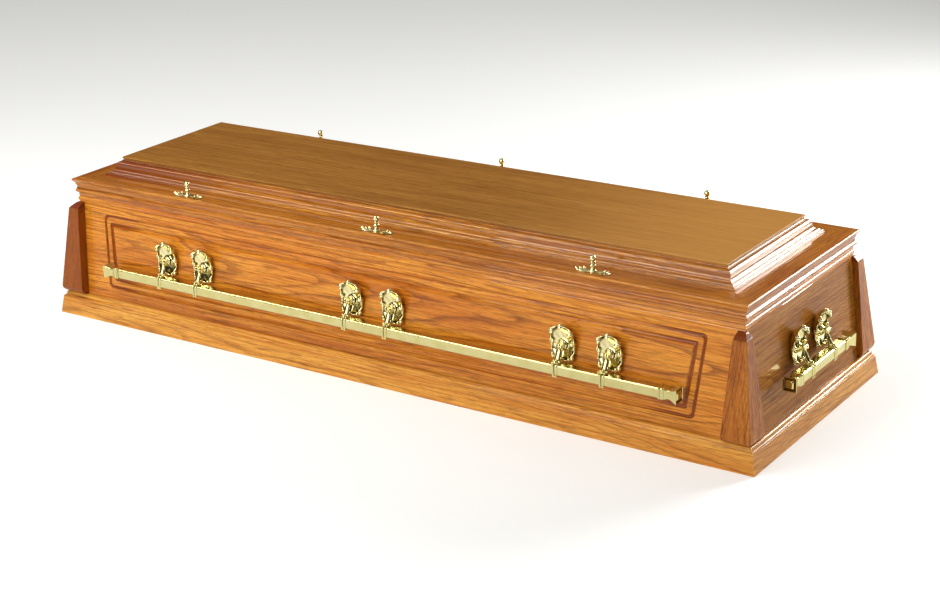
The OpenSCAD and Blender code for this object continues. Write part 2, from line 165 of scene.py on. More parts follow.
class Shape:
    """Vertices and faces of one piece, in millimetres, gathered from closed shells."""

    def __init__(self):
        self.verts = []
        self.faces = []

    def loft(self, rings, place=None, loop=False):
        """Joins rings of points into a shell, closed by its ends or by joining them."""
        first, n, count = len(self.verts), len(rings[0]), len(rings)
        place = place or Matrix()
        self.verts += [place @ Vector(p) for ring in rings for p in ring]
        for i in range(count if loop else count - 1):
            a = first + i * n
            b = first + (i + 1) % count * n
            for k in range(n):
                j = (k + 1) % n
                self.faces.append((a + k, a + j, b + j, b + k))
        if not loop:
            self.faces.append(tuple(range(first, first + n)))
            self.faces.append(tuple(range(first + (count - 1) * n, first + count * n)))

    def lathe(self, profile, place=None, turns=28):
        """Turns a profile of (radius, height) about the local Z axis."""
        circle = [2 * math.pi * k / turns for k in range(turns)]
        self.loft(
            [[(r * math.cos(t), r * math.sin(t), h) for t in circle] for r, h in profile],
            place,
        )

    def ball(self, centre, r, squash=(1, 1, 1), turns=16):
        """A ball, or an egg where squash differs from 1."""
        place = Matrix.Translation(centre) @ Matrix.Diagonal((*squash, 1))
        self.lathe([(max(x, 0.02), y) for x, y in arc(0, 0, r, r, -90, 90, 10)], place, turns)

    def mesh(self, name, place=None, sharp=35):
        """The shells as a Blender mesh in metres, smooth but for edges over sharp degrees."""
        bm = bmesh.new()
        made = [bm.verts.new(v) for v in self.verts]
        for face in self.faces:
            bm.faces.new([made[i] for i in face])
        bmesh.ops.recalc_face_normals(bm, faces=bm.faces)
        bm.transform(Matrix.Scale(MM, 4) @ (place or Matrix()))
        for face in bm.faces:
            face.smooth = True
        for edge in bm.edges:
            edge.smooth = edge.calc_face_angle(0) < math.radians(sharp)
        mesh = bpy.data.meshes.new(name)
        bm.to_mesh(mesh)
        bm.free()
        return mesh


def add_piece(name, mesh, material, nodes, body="root", flats=True):
    """Puts a mesh in the scene as a piece that stands for CAD nodes."""
    piece = bpy.data.objects.new(name, mesh)
    bpy.context.scene.collection.objects.link(piece)
    mesh.materials.clear()
    mesh.materials.append(material)
    if flats:
        normals = piece.modifiers.new("flat_faces_stay_flat", "WEIGHTED_NORMAL")
        normals.keep_sharp = True
    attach(piece, body)
    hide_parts(*nodes)
    return piece


# ---- materials -----------------------------------------------------------------------


def srgb(r, g, b):
    """A colour given as 0 to 255, in linear light."""
    out = []
    for c in (r, g, b):
        c /= 255
        out.append(c / 12.92 if c <= 0.04045 else ((c + 0.055) / 1.055) ** 2.4)
    return (*out, 1)


class Nodes:
    """Short forms for building one shader tree."""

    def __init__(self, material):
        material.use_nodes = True
        self.tree = material.node_tree
        self.shader = self.tree.nodes["Principled BSDF"]

    def add(self, kind, settings=None, inputs=None):
        """A node with its settings, and its inputs by name or number."""
        made = self.tree.nodes.new("ShaderNode" + kind)
        for key, value in (settings or {}).items():
            setattr(made, key, value)
        for key, value in (inputs or {}).items():
            self.feed(made.inputs[key], value)
        return made

    def feed(self, socket, value):
        """A value for a socket, or a link to it."""
        if isinstance(value, bpy.types.NodeSocket):
            self.tree.links.new(value, socket)
        else:
            socket.default_value = value

    def math(self, operation, a, b=0.0, c=0.0):
        made = self.add("Math", {"operation": operation}, {0: a, 1: b, 2: c})
        return made.outputs[0]

    def noise(self, vector, stretch, detail=2.0, rough=0.5, shift=(0, 0, 0)):
        """Noise of the grain coordinates, with its own number of waves a metre each way."""
        scaled = self.add(
            "VectorMath", {"operation": "MULTIPLY_ADD"}, {0: vector, 1: stretch, 2: shift}
        )
        made = self.add(
            "TexNoise",
            inputs={
                "Vector": scaled.outputs[0],
                "Scale": 1.0,
                "Detail": detail,
                "Roughness": rough,
            },
        )
        return made.outputs[0]

    def span(self, value, low, high, to_low=0.0, to_high=1.0):
        """Value taken smoothly from one span to another."""
        made = self.add(
            "MapRange",
            {"interpolation_type": "SMOOTHSTEP"},
            {0: value, 1: low, 2: high, 3: to_low, 4: to_high},
        )
        return made.outputs[0]

    def mix(self, factor, a, b):
        made = self.add(
            "Mix", {"data_type": "RGBA", "blend_type": "MIX"}, {0: factor, 6: a, 7: b}
        )
        return made.outputs[2]

    def bump(self, height, strength, distance):
        made = self.add(
            "Bump", inputs={"Height": height, "Strength": strength, "Distance": distance}
        )
        self.feed(self.shader.inputs["Normal"], made.outputs[0])

    def set(self, **values):
        for key, value in values.items():
            self.feed(self.shader.inputs[key.replace("_", " ")], value)


# each wood's light, middle, dark and reddish tone
TONES = {
    "honey": (srgb(206, 134, 44), srgb(170, 98, 22), srgb(96, 42, 6), srgb(164, 80, 12)),
    "gold": (srgb(173, 121, 54), srgb(149, 98, 37), srgb(94, 55, 14), srgb(136, 86, 26)),
    "orange": (srgb(226, 152, 52), srgb(194, 114, 26), srgb(112, 50, 6), srgb(184, 88, 14)),
    "brown": (srgb(190, 128, 48), srgb(158, 96, 28), srgb(88, 46, 10), srgb(132, 72, 18)),
    "russet": (srgb(190, 118, 36), srgb(160, 88, 18), srgb(84, 34, 4), srgb(144, 68, 12)),
    "amber": (srgb(212, 146, 52), srgb(178, 107, 26), srgb(88, 40, 6), srgb(150, 72, 12)),
    "pale": (srgb(226, 166, 70), srgb(198, 130, 40), srgb(122, 60, 12), srgb(190, 106, 22)),
    "plain": (srgb(200, 152, 82), srgb(182, 132, 64), srgb(140, 92, 36), srgb(170, 116, 50)),
}
# painted shade for the head and the foot of a post
POST_PAINTED_SHADE = srgb(104, 36, 10)
# painted shade for the groove frame sunk in the side boards
GROOVE_PAINTED_SHADE = srgb(122, 46, 2)
# painted shade for the creases and hollows of the brass
BRASS_PAINTED_CREASE_SHADE = srgb(74, 54, 18)


def oak(name, axes, tone, pith, tilt, ring=0.0056, warp=0.030, figure=0.7, seed=0.0, coat=0.85,
        ior=1.44, blur=0.03, grooved=False, fade=None, upright=False):
    """Lacquered oak sawn from a trunk. Axes says which way the grain, the width and the
    thickness run; pith is where the trunk's middle lies across them, tilt how far it strays
    along them, ring the width of a year's growth and warp how far the rings wander. Figure
    is how dark the rings are. Coat, ior and blur are the lacquer. With grooved, shade is
    painted into the sunk groove frame; with upright, shade is painted on the head and foot of
    a post. The tuple fade is (x0, x1, share at x0, share at x1, colour): another colour
    towards one end of the coffin, a painted light on the lid's top and a darker colour on
    the raised moulding and the posts."""
    light, mid, dark, red = TONES[tone]
    material = bpy.data.materials.new(name)
    n = Nodes(material)
    where = n.add("TexCoord").outputs["Object"]
    split = n.add("SeparateXYZ", inputs={0: where}).outputs
    run, across, depth = [split["xyz".index(a)] for a in axes]
    depth = n.math("ABSOLUTE", depth)
    grain = n.add("CombineXYZ", inputs={0: run, 1: across, 2: depth}).outputs[0]
    slow = n.noise(grain, (0.9, 4.5, 4.5), 3.0, 0.55, (seed, seed, 0))
    quick = n.noise(grain, (4.0, 22.0, 22.0), 2.0, 0.5, (0, seed, seed))
    a = n.math("MULTIPLY_ADD", run, tilt[0], n.math("SUBTRACT", across, pith[0]))
    d = n.math("MULTIPLY_ADD", run, tilt[1], n.math("SUBTRACT", depth, pith[1]))
    reach = n.math("SQRT", n.math("ADD", n.math("MULTIPLY", a, a), n.math("MULTIPLY", d, d)))
    reach = n.math("MULTIPLY_ADD", slow, 2 * warp, reach)
    reach = n.math("MULTIPLY_ADD", quick, 0.16 * warp, reach)
    count = n.math("DIVIDE", reach, ring)
    part = n.math("FRACT", count)
    each = n.add("TexWhiteNoise", {"noise_dimensions": "1D"}, {"W": n.math("FLOOR", count)})
    fibre = n.noise(grain, (14, 620, 620), 2.0, 0.6, (seed, 0, 0))
    pore = n.span(n.noise(grain, (60, 1300, 1300), 1.0, 0.5), 0.52, 0.66)
    line = n.math("MAXIMUM", n.span(part, 0.0, 0.4, 1.0, 0.0), n.span(part, 0.92, 1.0))
    line = n.math("MULTIPLY", line, n.span(each.outputs[0], 0.0, 1.0, 0.2, 1.0))
    broken = n.math("MULTIPLY", line, n.span(fibre, 0.36, 0.60, 0.35, 1.0))
    streak = n.span(n.noise(grain, (4, 230, 230), 3.0, 0.7), 0.40, 0.62)
    thin = n.span(n.noise(grain, (22, 400, 400), 2.0, 0.6, (0, seed, 3)), 0.54, 0.66)
    cloud = n.span(n.noise(grain, (1.6, 14, 14), 3.0, 0.55, (7, 0, seed)), 0.42, 0.66)
    dash = n.span(n.noise(grain, (7, 90, 90), 2.0, 0.6, (3, seed, 1)), 0.56, 0.70)
    colour = n.mix(streak, light, mid)
    colour = n.mix(n.math("MULTIPLY", cloud, 0.45), colour, red)
    colour = n.mix(n.math("MULTIPLY", thin, 0.45), colour, dark)
    colour = n.mix(n.math("MULTIPLY", broken, figure), colour, dark)
    colour = n.mix(n.math("MULTIPLY", dash, 0.6 * figure), colour, dark)
    pore = n.math("MULTIPLY", pore, n.math("MULTIPLY_ADD", line, 0.5, 0.5))
    colour = n.mix(n.math("MULTIPLY", pore, 0.5), colour, dark)
    # Another colour towards one end. On the lid's top this is painted light, lighter towards the
    # right end. On the raised moulding and the posts it is a darker colour towards the left end.
    if fade:
        colour = n.mix(n.span(split[0], *fade[:4]), colour, fade[4])
    # Painted shade: a post's head under the lid, and the lowest part of its foot just above the
    # plinth, are darkened.
    if upright:
        above = n.span(run, POST_TOP_Z * MM, (POST_TOP_Z + 2) * MM, 0.0, 0.7)
        below = n.span(run, (PLINTH_H + 2) * MM, (PLINTH_H + 9) * MM, 0.7, 0.0)
        colour = n.mix(n.math("MAXIMUM", above, below), colour, POST_PAINTED_SHADE)
    # Painted shade: the groove frame sunk in the side boards is darkened, most of all on the
    # frame's uprights towards the ends of the coffin.
    if grooved:
        sunk = n.math("ADD", n.math("ABSOLUTE", split[1]), n.math("MULTIPLY", split[2], SLOPE))
        sunk = n.math("SUBTRACT", hy(0) * MM, sunk)
        within = n.span(sunk, 0.006, 0.008, 1.0, 0.0)
        painted_groove_shade = n.math("MULTIPLY", n.span(sunk, 0.0002, 0.003), within)
        ends = n.span(n.math("ABSOLUTE", run), 0.74, 0.83, 0.12, 0.85)
        colour = n.mix(n.math("MULTIPLY", painted_groove_shade, ends), colour, GROOVE_PAINTED_SHADE)
    height = n.math("MULTIPLY_ADD", pore, -1.0, n.math("MULTIPLY", broken, -0.5))
    rough = n.math("MULTIPLY_ADD", streak, 0.12, 0.34)
    n.bump(height, 0.25, 0.0003)
    n.set(Base_Color=colour, Roughness=rough, Specular_IOR_Level=0.08, IOR=1.5)
    n.set(Coat_Weight=coat, Coat_Roughness=blur, Coat_IOR=ior)
    return material


def brass(name, colour, shade, rough, brushed=None):
    """Polished brass, or brushed along an axis, with painted shade darkening its creases."""
    material = bpy.data.materials.new(name)
    n = Nodes(material)
    where = n.add("TexCoord").outputs["Object"]
    stretch = {None: (60, 60, 60), "x": (3, 900, 900), "y": (900, 3, 900)}[brushed]
    marks = n.noise(where, stretch, 3.0, 0.55)
    cloud = n.span(n.noise(where, (28, 28, 28), 2.0), 0.35, 0.7)
    tint = n.mix(n.math("MULTIPLY", cloud, 0.6), colour, shade)
    tint = n.mix(n.math("MULTIPLY", n.span(marks, 0.35, 0.75), 0.3), tint, shade)
    # Painted shade: creases and hollows found by pointiness are darkened, standing in for the
    # shade and dark reflections in them.
    painted_crease_shade = n.span(n.add("NewGeometry").outputs["Pointiness"], 0.478, 0.497, 1.0, 0.0)
    tint = n.mix(n.math("MULTIPLY", painted_crease_shade, 0.85), tint, BRASS_PAINTED_CREASE_SHADE)
    n.bump(marks, 0.10 if brushed else 0.04, 0.0002)
    n.set(Base_Color=tint, Metallic=1.0)
    n.set(Roughness=n.math("MULTIPLY_ADD", marks, 0.12, rough))
    return material


WOOD = {
    "side_panel": oak("oak_side_panel", "xzy", "orange", (0.20, 0.215), (0.004, 0.035), 0.0085,
                      0.034, 0.85, seed=3.1, coat=0.5, grooved=True),
    "end_panel": oak("oak_end_panel", "yzx", "brown", (0.13, 0.93), (0.10, 0.06), 0.005, 0.022,
                     coat=0.2),
    "plinth_x": oak("oak_plinth_side", "xzy", "pale", (-0.05, 0.20), (0.01, 0.02), seed=5.7,
                    coat=0.6),
    "plinth_y": oak("oak_plinth_end", "yzx", "pale", (-0.05, 0.90), (0.02, 0.05), seed=2.2,
                    coat=0.6),
    "bead_x": oak("oak_bead_side", "xzy", "orange", (0.22, 0.12), (0.01, 0.02), seed=8.1,
                  ior=1.48),
    "bead_y": oak("oak_bead_end", "yzx", "orange", (0.22, 0.84), (0.01, 0.02), seed=1.4),
    "rail_x": oak("oak_rail_side", "xyz", "honey", (-0.16, 0.24), (0.01, 0.015), seed=4.4,
                  ior=1.42),
    "rail_y": oak("oak_rail_end", "yxz", "honey", (0.86, 0.26), (0.02, 0.03), seed=6.3),
    "raised_x": oak("oak_raised_side", "xzy", "amber", (0.30, 0.13), (0.01, 0.05), seed=9.2,
                    ior=1.55, fade=(-0.9, -0.3, 0.95, 0.0, srgb(126, 56, 8))),
    "raised_y": oak("oak_raised_end", "yzx", "honey", (0.32, 0.80), (0.02, 0.03), seed=2.9),
    # Painted light: the lid's top turns lighter towards the right end.
    "top": oak("oak_lid_top", "xyz", "gold", (0.32, 0.10), (0.004, 0.0), 0.0032, 0.012, 0.45,
               coat=0.35, blur=0.25, fade=(0.1, 0.9, 0.0, 0.5, srgb(222, 164, 88))),
    "post": oak("oak_post", "zxy", "russet", (0.90, 0.20), (0.03, 0.02), 0.0048, 0.012, 0.8,
                coat=0.4, fade=(-0.9, 0.9, 0.7, 0.0, srgb(126, 58, 10)), upright=True),
    "floor": oak("oak_floor", "xyz", "plain", (0.05, -0.10), (0.0, 0.02), seed=7.5, coat=0.2),
}
BRASS_CAST = brass("brass_cast", srgb(242, 234, 184), srgb(226, 212, 140), 0.07)
BRASS_BAR_X = brass("brass_bar_side", srgb(214, 206, 148), srgb(198, 188, 122), 0.16, "x")
BRASS_BAR_Y = brass("brass_bar_end", srgb(220, 212, 148), srgb(204, 192, 120), 0.12, "y")


# ---- wood ----------------------------------------------------------------------------


def run_moulding(node, side, profile, a, b, material):
    """A profile of (inward, up) run along one side of a rectangle, mitred at its ends."""
    rings = []
    for end in (-1, 1):
        ring = []
        for inward, up in profile:
            if side in ("front", "back"):
                ring.append((end * (a - inward), inward - b, up))
            else:
                ring.append((a - inward, end * (b - inward), up))
        rings.append(ring)
    turn = math.pi if side in ("back", "left") else 0
    shape = Shape()
    shape.loft(rings, Matrix.Rotation(turn, 4, "Z"))
    return add_piece("wood_" + node, shape.mesh(node, sharp=50), material, [node])


def plinth_profile():
    """The plinth's leaning face, with a hollow and a round along its top."""
    face = PLINTH_H - PLINTH_STEP
    lean = PLINTH_LEAN
    points = [(0, 0), (lean, face), (lean + 2, face), (lean + 2, face + 1.5)]
    points += arc(lean + 2, PLINTH_H - 6.5, 4.5, PLINTH_STEP - 8, 270, 360, 8)
    points += arc(lean + 15.5, PLINTH_H - 5.5, 9, 5.5, 180, 90, 10)
    points += [(PLINTH_T + SLOPE * PLINTH_H, PLINTH_H), (PLINTH_T, 0)]
    return soften(points, 1.0)


def bead_profile():
    """The round bead at the top of the body, with a fillet above it."""
    low = BEAD_LO.z
    out = -BODY_B - BEAD_LO.y
    points = [(out - SLOPE * (BODY_H - low), low), (out - SLOPE * (BODY_H - low) - 1.5, low)]
    points += arc(4.5, low + 8.5, 4.5, 6.5, 250, 90, 14)
    points += [(2.5, low + 16), (2.5, BODY_H), (out, BODY_H)]
    return soften(points, 0.5)


def rim_profile():
    """The lid rail's edge: a bead below, a hollow, a slope and a rounded brim."""
    low = BODY_H
    points = [(45, low), (12, low), (12, low + 4.5)]
    points += arc(10, low + 9, 4.5, 4.5, 270, 90, 14)
    points += arc(0.5, RIM_Z - 24.5, 9, 9, -45, 45, 12)
    points += [(6.9, RIM_Z - 14), (0.7, RIM_Z - 7.5)]
    points += arc(4, RIM_Z - 5, 4, 3.5, 200, 100, 8)
    points += [(9, RIM_Z), (90, RIM_Z), (90, RIM_Z - LID_T), (45, RIM_Z - LID_T)]
    return soften(points, 0.7)


def raised_profile():
    """The raised moulding: two small rounds, a wide hollow and a round under the top."""
    b = RAISE_IN
    h = RAISE_Z - RIM_Z
    points = [(b, 0), (b, 2), (b + 2, 2)]
    points += arc(b + 4.5, 4.2, 2.5, 2.2, 200, 60, 10)
    points += [(b + 7.5, 5.6), (b + 7.5, 7)]
    points += arc(b + 14, 6, 6, 4.5, 160, 90, 8)
    points += arc(b + 14.5, h - 13.5, 8, h - 24, 270, 350, 12)
    points += arc(b + 33, h - 11.5, 10.5, 8, 180, 100, 12)
    points += arc(b + 36.5, h - 1.8, 2, 1.8, 230, 100, 8)
    points += [(b + 72, h), (b + 72, h - 12), (b + 44, 0)]
    return [(x, z + RIM_Z) for x, z in soften(points, 0.5)]


def drill(piece, centres, r, low, high):
    """Bores round holes upright through a piece."""
    shape = Shape()
    for x, y in centres:
        shape.lathe([(r, low), (r, high)], Matrix.Translation((x, y, 0)), 24)
    cutter = bpy.data.objects.new("cutter", shape.mesh("cutter"))
    bpy.context.scene.collection.objects.link(cutter)
    cut = piece.modifiers.new("holes", "BOOLEAN")
    cut.object = cutter
    cut.solver = "EXACT"
    piece.modifiers.move(len(piece.modifiers) - 1, 0)
    flats = piece.modifiers["flat_faces_stay_flat"]
    flats.show_viewport = False
    bpy.context.view_layer.update()
    done = piece.evaluated_get(bpy.context.evaluated_depsgraph_get())
    old = piece.data
    piece.data = bpy.data.meshes.new_from_object(done)
    piece.modifiers.remove(cut)
    flats.show_viewport = True
    bpy.data.meshes.remove(old)
    bpy.data.objects.remove(cutter)


def screw_centres(side):
    """Where the three thumb screws of a side stand."""
    boxes = [box_mm(f"{side}_thumb_screw_{i}") for i in (1, 2, 3)]
    return [((lo.x + hi.x) / 2, (lo.y + hi.y) / 2) for lo, hi in boxes]


def groove_ring(inset, sunk):
    """The groove frame's outline moved in by inset and sunk into the panel's face, as points
    (along the face, out of it, up it) from the middle of the frame."""
    low, high = POST_FOOT_Z + GROOVE_LOW, POST_TOP_Z - GROOVE_HIGH
    half = (high - low) / 2 / math.cos(LEAN) - inset
    top = hx(POST_TOP_Z) + POST_END - POST_TOP_W - GROOVE_GAP - inset
    foot = top - GROOVE_TAPER
    r = max(12 - inset / 3, 2)
    points = arc(top - r, half - r, r, r, 0, 90, 8)
    points += arc(r - top, half - r, r, r, 90, 180, 8)
    points += arc(r - foot, r - half, r, r, 180, 270, 8)
    points += arc(foot - r, r - half, r, r, 270, 360, 8)
    return [(x, sunk, up) for x, up in points]


GROOVE_STEPS = (
    (0, 0), (0.8, 1.6), (2.5, 3.4), (4.5, 4.0), (6.5, 3.4), (8.2, 1.6), (9, 0.3),
    (11, 0.0), (19, 0.0), (21, 0.4), (21.8, 2.4), (23.5, 3.8), (26, 3.9), (29, 3.0),
    (32, 1.5), (34, 0.5), (35, 0.1),
)


def side_panel(side):
    """A leaning side board with the groove frame worked into its face."""
    node = side + "_side_panel"
    shape = Shape()
    for inward in (0, PANEL_T):
        for up, way in ((BODY_H, 1), (BODY_H, -1), (0, -1), (0, 1)):
            shape.verts.append(Vector((way * hx(up), inward - hy(up), up)))
    shape.faces += [(4, 5, 6, 7), (0, 1, 5, 4), (1, 2, 6, 5), (2, 3, 7, 6), (3, 0, 4, 7)]
    middle = (POST_FOOT_Z + GROOVE_LOW + POST_TOP_Z - GROOVE_HIGH) / 2
    place = Matrix.Translation((0, -hy(middle), middle)) @ Matrix.Rotation(-LEAN, 4, "X")
    rings = [groove_ring(*step) for step in GROOVE_STEPS]
    n = len(rings[0])
    first = len(shape.verts)
    for ring in rings:
        shape.verts += [place @ Vector(p) for p in ring]
    for i in range(len(rings) - 1):
        a = first + i * n
        for k in range(n):
            j = (k + 1) % n
            shape.faces.append((a + k, a + j, a + n + j, a + n + k))
    shape.faces.append(tuple(range(first + (len(rings) - 1) * n, len(shape.verts))))
    per_corner = n // 4
    for corner in range(4):
        start = first + corner * per_corner
        for k in range(per_corner - 1):
            shape.faces.append((corner, start + k + 1, start + k))
        after = (corner + 1) % 4
        shape.faces.append(
            (corner, after, first + after * per_corner, start + per_corner - 1)
        )
    turn = Matrix.Rotation(math.pi if side == "back" else 0, 4, "Z")
    mesh = shape.mesh(node, turn, sharp=60)
    piece = add_piece("wood_" + node, mesh, WOOD["side_panel"], [node])
    drill(piece, screw_centres(side), SCREW_HOLE_R, BODY_H - SCREW_HOLE_DEPTH, BODY_H + 1)


def bow(r, t):
    """How far a quarter round of radius r has fallen back at a share t of its height."""
    return r * (1 - math.cos(math.radians(90 * t)))


def post(node, sx, sy):
    """A corner post: an L that wraps the corner, wider at its foot, with a rounded foot and
    a rounded head that runs out on the panels."""
    end0, end1 = hx(POST_FOOT_Z) + POST_END, hx(POST_TOP_Z) + POST_END
    side0, side1 = hy(POST_FOOT_Z) + POST_SIDE, hy(POST_TOP_Z) + POST_SIDE
    span = POST_TOP_Z - POST_FOOT_Z
    levels = [(PLINTH_H + bow(POST_FOOT_H, i / 10), "foot", i / 10) for i in range(10)]
    levels += [(POST_FOOT_Z + span * i / 6, "face", 0) for i in range(7)]
    levels += [(0, "head", i / 10 * 0.985) for i in range(1, 11)]
    rings = []
    for z, part, t in levels:
        if part == "head":
            z = POST_TOP_Z + POST_HEAD_H * math.sin(math.pi / 2 * t)
            a = end1 - (end1 - hx(POST_HI.z)) * t
            b = side1 - (side1 - hy(POST_HI.z)) * t
            a = max(a, hx(z) + 0.3)
            b = max(b, hy(z) + 0.3)
        else:
            under = (min(z, POST_FOOT_Z) - POST_FOOT_Z) / POST_FOOT_H
            back = 1 - math.sqrt(max(0, 1 - under ** 2))
            along = max(0, (z - POST_FOOT_Z) / span)
            a = end0 + (end1 - end0) * along - 0.75 * POST_END * back
            b = side0 + (side1 - side0) * along - 0.75 * POST_SIDE * back
        share = (z - POST_FOOT_Z) / span
        x_in = (end0 - POST_FOOT_W) + (end1 - POST_TOP_W - end0 + POST_FOOT_W) * share
        y_in = (side0 - POST_FOOT_W) + (side1 - POST_TOP_W - side0 + POST_FOOT_W) * share
        outer = [(x_in, -b), (a, -b), (a, -y_in)]
        outer += [(hx(z), -y_in), (hx(z), -hy(z)), (x_in, -hy(z))]
        ring = []
        for i, r in enumerate((1.6, 2.2, 1.6, 0.2, 0.2, 0.2)):
            p = Vector(outer[i])
            to_a = Vector(outer[i - 1]) - p
            to_b = Vector(outer[(i + 1) % 6]) - p
            s = p + to_a.normalized() * min(r, 0.4 * to_a.length)
            e = p + to_b.normalized() * min(r, 0.4 * to_b.length)
            for k in range(5):
                q = k / 4
                mid = (1 - q) ** 2 * s + 2 * q * (1 - q) * p + q * q * e
                ring.append((sx * mid.x, -sy * mid.y, z))
        rings.append(ring)
    shape = Shape()
    shape.loft(rings)
    add_piece("wood_" + node, shape.mesh(node, sharp=40), WOOD["post"], [node])


def lid_top():
    """The flat top panel with its moulded lip and the tongue below it."""
    lip_a, lip_b = TOP_HI.x, TOP_HI.y
    tongue_a = RIM_A - RAISE_IN - 73
    tongue_b = RIM_B - RAISE_IN - 73
    top = TOP_HI.z
    edge = [(2.5, RAISE_Z), (2.5, top - 6.5)] + arc(3, top - 3.2, -3, 3.2, -80, 90, 12)
    levels = [(tongue_a, tongue_b, TOP_LO.z), (tongue_a, tongue_b, RAISE_Z)]
    levels += [(lip_a - i, lip_b - i, z) for i, z in edge]
    rings = []
    for a, b, z in levels:
        rings.append([(a, -b, z), (a, b, z), (-a, b, z), (-a, -b, z)])
    shape = Shape()
    shape.loft(rings)
    mesh = shape.mesh("lid_top_panel", sharp=60)
    add_piece("wood_lid_top_panel", mesh, WOOD["top"], ["lid_top_panel"])


def build_wood():
    """Every wooden piece. The end panels and the floor board are the CAD's own nodes."""
    bead_a, bead_b = BEAD_HI.x, -BEAD_LO.y
    for side in SIDES:
        way = "x" if side in ("front", "back") else "y"
        run_moulding(side + "_plinth_moulding", side, plinth_profile(), PLINTH_A, PLINTH_B,
                     WOOD["plinth_" + way])
        run_moulding(side + "_bead_moulding", side, bead_profile(), bead_a, bead_b,
                     WOOD["bead_" + way])
        rail = run_moulding(side + "_lid_rail", side, rim_profile(), RIM_A, RIM_B,
                            WOOD["rail_" + way])
        run_moulding(side + "_raised_moulding", side, raised_profile(), RIM_A, RIM_B,
                     WOOD["raised_" + way])
        if way == "x":
            drill(rail, screw_centres(side), SCREW_HOLE_R, BODY_H - 1, RIM_Z + 1)
            side_panel(side)
    for node, sx, sy in (("front_right_post", 1, -1), ("front_left_post", -1, -1),
                         ("back_right_post", 1, 1), ("back_left_post", -1, 1)):
        post(node, sx, sy)
    lid_top()
    for node, wood in (("right_end_panel", "end_panel"), ("left_end_panel", "end_panel"),
                       ("floor_board", "floor")):
        board = frame["nodes"][node]
        board.data.materials.clear()
        board.data.materials.append(WOOD[wood])


# ---- brass ---------------------------------------------------------------------------


def leaf(shape, start, angle, length, width, high, lift, curl, thick):
    """A leaf with a sunk midrib that lies along a plate and curls out of it at its tip.
    Start is (along, up) on the plate, and angle is measured from straight up."""
    t = math.radians(angle)
    d = Vector((math.sin(t), 0, math.cos(t)))
    e = Vector((math.cos(t), 0, -math.sin(t)))
    out = Vector((0, -1, 0))
    steps, across = 14, 10
    here = Vector((start[0], -high, start[1]))
    rings = []
    for i in range(steps + 1):
        s = i / steps
        bend = lift + curl * max(0.0, (s - 0.5) / 0.5) ** 1.6
        ahead = math.cos(bend) * d + math.sin(bend) * out
        normal = math.cos(bend) * out - math.sin(bend) * d
        half = width / 2 * math.sin(math.pi * (0.16 + 0.76 * s)) ** 0.8
        over, under = [], []
        for k in range(across + 1):
            q = 2 * k / across - 1
            crown = 1.7 * (1 - q * q) - 1.5 * math.exp(-((q / 0.22) ** 2))
            over.append(here + e * half * q + normal * crown)
            under.append(here + e * half * q * 0.94 - normal * thick)
        rings.append(over + under[::-1])
        here = here + ahead * (length / steps)
    shape.loft(rings)


def facing(x, out, up):
    """Local Z turned to point straight out of a plate, from a point on it."""
    return Matrix.Translation((x, -out, up)) @ Matrix.Rotation(math.pi / 2, 4, "X")


def shield_reach(t):
    """How far the casting's edge stands from its boss at angle t: a shield with a lobed fan
    above, a waist at its sides and two scrolled corners below."""
    c, s = math.cos(t), math.sin(t)
    power = 2.5 if s > 0 else 3.2
    high = 49 if s > 0 else 38
    reach = (abs(c / 33.0) ** power + abs(s / high) ** power) ** (-1 / power)
    if s > 0:
        lobe = 0.05 * s ** 0.5 * math.cos(LOBES * (t - math.pi / 2))
        return reach * (1 + lobe - 0.04 * c ** 8)
    notch = math.exp(-(((t - 1.5 * math.pi) / 0.22) ** 2))
    return reach * (1 - 0.04 * c ** 8 - 0.07 * abs(math.sin(2 * t)) ** 4 - 0.10 * notch)


def shield_lift(t, f):
    """How far its face stands off the panel at angle t and at a share f of the reach."""
    s = math.sin(t)
    up = max(0.0, s)
    high = 2.8 + 16.0 * up ** 1.1 + 4.0 * max(0.0, -s) ** 2
    flutes = math.cos((LOBES if s > 0 else SCROLLS) * (t - math.pi / 2))
    return 5.4 + high * f ** 2.2 + (0.6 + 1.8 * up) * flutes * f ** 4


def shell(shape, hinge):
    """The fluted shield: hollowed towards the boss, curled forward in a fan above, with a
    rolled lip all round and its sides cut back to the panel."""
    turns = 110
    angles = [2 * math.pi * k / turns for k in range(turns)]

    def ring(reach, out):
        return [(reach(t) * math.cos(t), -out(t), hinge + reach(t) * math.sin(t)) for t in angles]

    rings = []
    for f, share in ((0.60, 0.0), (0.72, 0.02), (0.80, 0.22), (0.88, 0.46), (0.94, 0.66)):
        rings.append(ring(lambda t: f * shield_reach(t), lambda t: share * shield_lift(t, 0.9)))
    for step in range(13):
        turn = math.radians(-60 + 235 * step / 12)

        def rho(t):
            count = LOBES if math.sin(t) > 0 else SCROLLS
            lobe = 0.5 + 0.5 * math.cos(count * (t - math.pi / 2))
            return 1.3 + (1.4 + 1.6 * max(0.0, math.sin(t)) ** 0.5) * lobe

        rings.append(ring(lambda t: shield_reach(t) - rho(t) * (0.6 - math.cos(turn)),
                          lambda t: shield_lift(t, 1) + rho(t) * (0.5 + math.sin(turn))))
    for step in range(13):
        f = 0.92 - 0.89 * step / 12
        rings.append(ring(lambda t: f * shield_reach(t), lambda t: shield_lift(t, f)))
    shape.loft(rings)


def egg(shape, place, wide, deep, long):
    """An egg along the local Z axis."""
    place = place @ Matrix.Diagonal((wide, deep, long, 1))
    shape.lathe([(max(x, 0.02), y) for x, y in arc(0, 0, 1, 1, -90, 90, 12)], place, 16)


